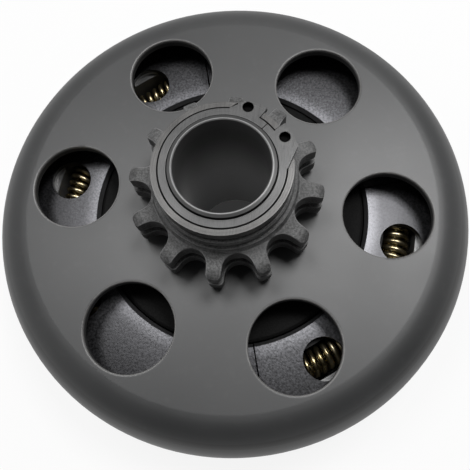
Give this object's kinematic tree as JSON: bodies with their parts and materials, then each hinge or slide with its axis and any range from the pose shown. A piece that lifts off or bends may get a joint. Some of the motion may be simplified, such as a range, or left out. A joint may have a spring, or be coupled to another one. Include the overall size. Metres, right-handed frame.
{
  "type": "centrifugal clutch",
  "caption": "Dry centrifugal clutch with a toothed chain sprocket on a pressed drum, sintered shoes held in by garter springs, and a keyed hub for a small engine shaft",
  "frame": {"origin": "on the shaft's axis, in the plane of the drum's open rim", "axes": "+Z along the shaft out of the drum's face towards the sprocket, +X through the middle of one drum hole"},
  "size_m": [0.108, 0.108, 0.0461],
  "materials": {
    "drum_steel": "satin black oxide",
    "sintered_steel": "matte, grainy",
    "hub_steel": "turned",
    "washer_steel": "brushed",
    "ring_steel": "brushed",
    "bush_bronze": "sintered bronze",
    "shoe_sinter": "matte, grainy",
    "rivet_steel": "plain",
    "spring_wire": "yellow passivated wire"
  },
  "bodies": {
    "drum_assembly": {"drum": "drum_steel", "sprocket": "sintered_steel", "bush": "bush_bronze"},
    "hub_assembly": {"hub": "hub_steel", "spider": "sintered_steel", "guide_plate": "drum_steel", "thrust_washer_front": "washer_steel", "thrust_washer_rear": "washer_steel", "retaining_ring": "ring_steel", "rivet_1": "rivet_steel", "rivet_2": "rivet_steel", "rivet_3": "rivet_steel", "rivet_4": "rivet_steel", "garter_spring_front": "spring_wire", "garter_spring_rear": "spring_wire"},
    "shoe_1_body": {"shoe_1": "shoe_sinter"},
    "shoe_2_body": {"shoe_2": "shoe_sinter"},
    "shoe_3_body": {"shoe_3": "shoe_sinter"},
    "shoe_4_body": {"shoe_4": "shoe_sinter"}
  },
  "joints": [
    {"name": "hub_spin", "type": "hinge", "parent": "drum_assembly", "child": "hub_assembly", "pos_m": [0, 0, 0.03], "axis": [0, 0, 1], "continuous": true},
    {"name": "shoe_1_slide", "type": "slide", "parent": "hub_assembly", "child": "shoe_1_body", "axis": [0.4848, 0.8746, 0], "range_m": [0, 0.001], "stiffness_N_per_m": 9000, "springref_m": -0.004, "deforming": ["garter_spring_front", "garter_spring_rear"]},
    {"name": "shoe_2_slide", "type": "slide", "parent": "hub_assembly", "child": "shoe_2_body", "axis": [-0.8746, 0.4848, 0], "range_m": [0, 0.001]},
    {"name": "shoe_3_slide", "type": "slide", "parent": "hub_assembly", "child": "shoe_3_body", "axis": [-0.4848, -0.8746, 0], "range_m": [0, 0.001]},
    {"name": "shoe_4_slide", "type": "slide", "parent": "hub_assembly", "child": "shoe_4_body", "axis": [0.8746, -0.4848, 0], "range_m": [0, 0.001]}
  ],
  "couplings": [
    {"joint": "shoe_2_slide", "follows": "shoe_1_slide", "ratio": 1},
    {"joint": "shoe_3_slide", "follows": "shoe_1_slide", "ratio": 1},
    {"joint": "shoe_4_slide", "follows": "shoe_1_slide", "ratio": 1}
  ]
}
